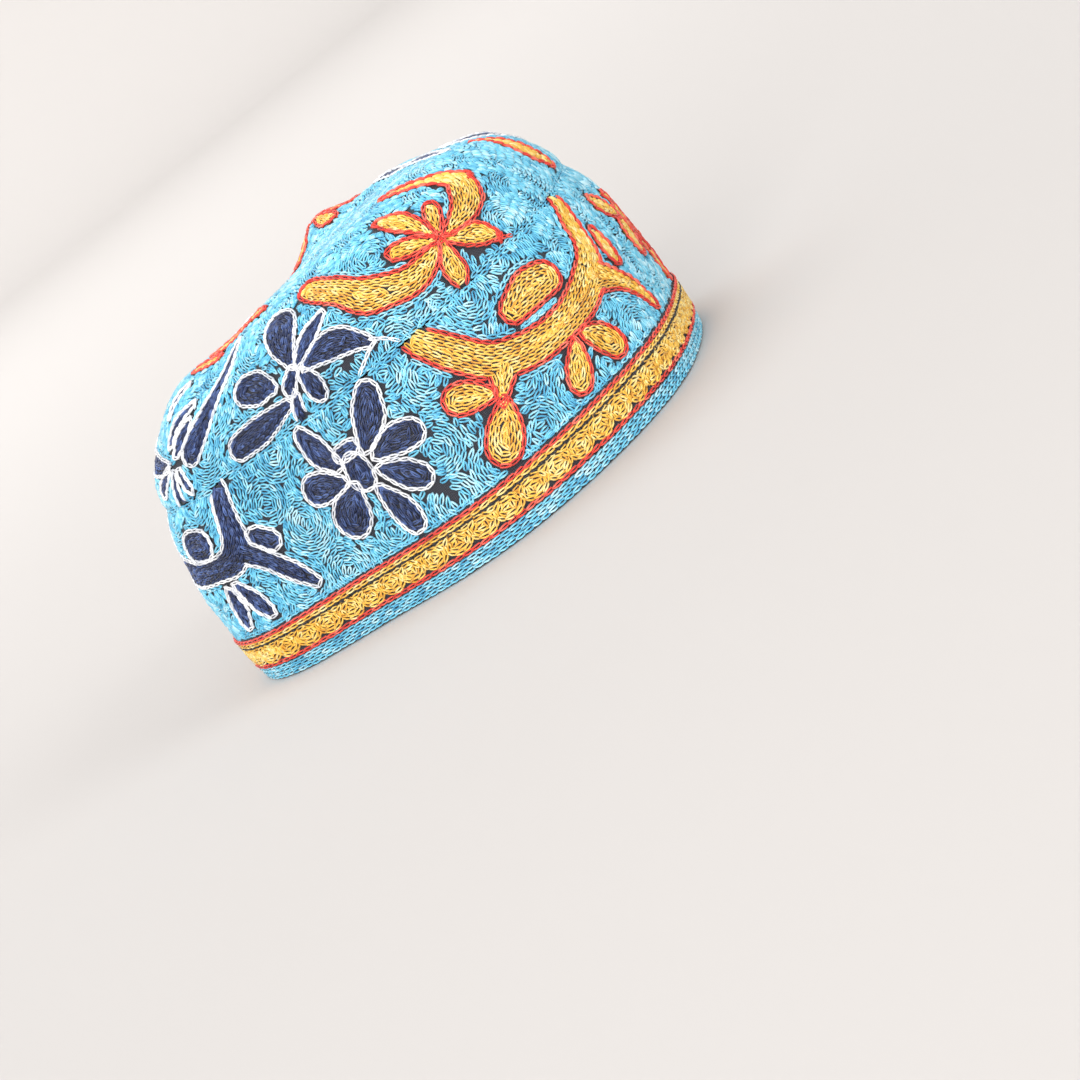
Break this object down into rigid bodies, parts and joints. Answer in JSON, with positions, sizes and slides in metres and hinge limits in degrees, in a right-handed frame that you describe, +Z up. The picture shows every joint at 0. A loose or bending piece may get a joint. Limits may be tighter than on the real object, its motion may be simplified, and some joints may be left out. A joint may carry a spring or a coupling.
{
  "type": "tubeteika skullcap",
  "caption": "Soft embroidered skullcap with a domed crown, an upright side band, a gold border strip and a narrow blue rim edging, open below for the head.",
  "frame": {"origin": "on the surface that the rim rests on, under the middle of the cap", "axes": "+Z up through the crown, -Y the side seen in the picture, +X to the right of it"},
  "size_m": [0.1834, 0.1766, 0.1023],
  "materials": {
    "sky_embroidery": "chain-stitched rayon thread on dark ground cloth",
    "gold_embroidery": "chain-stitched rayon thread on dark ground cloth",
    "ground_cloth": "plain woven cotton, matt",
    "red_thread": "satin rayon thread",
    "navy_thread": "satin rayon thread",
    "white_thread": "satin rayon thread"
  },
  "bodies": {
    "root": {"crown": "sky_embroidery", "side_band": "sky_embroidery", "border_band": "gold_embroidery", "rim_edge": "sky_embroidery"}
  },
  "joints": []
}
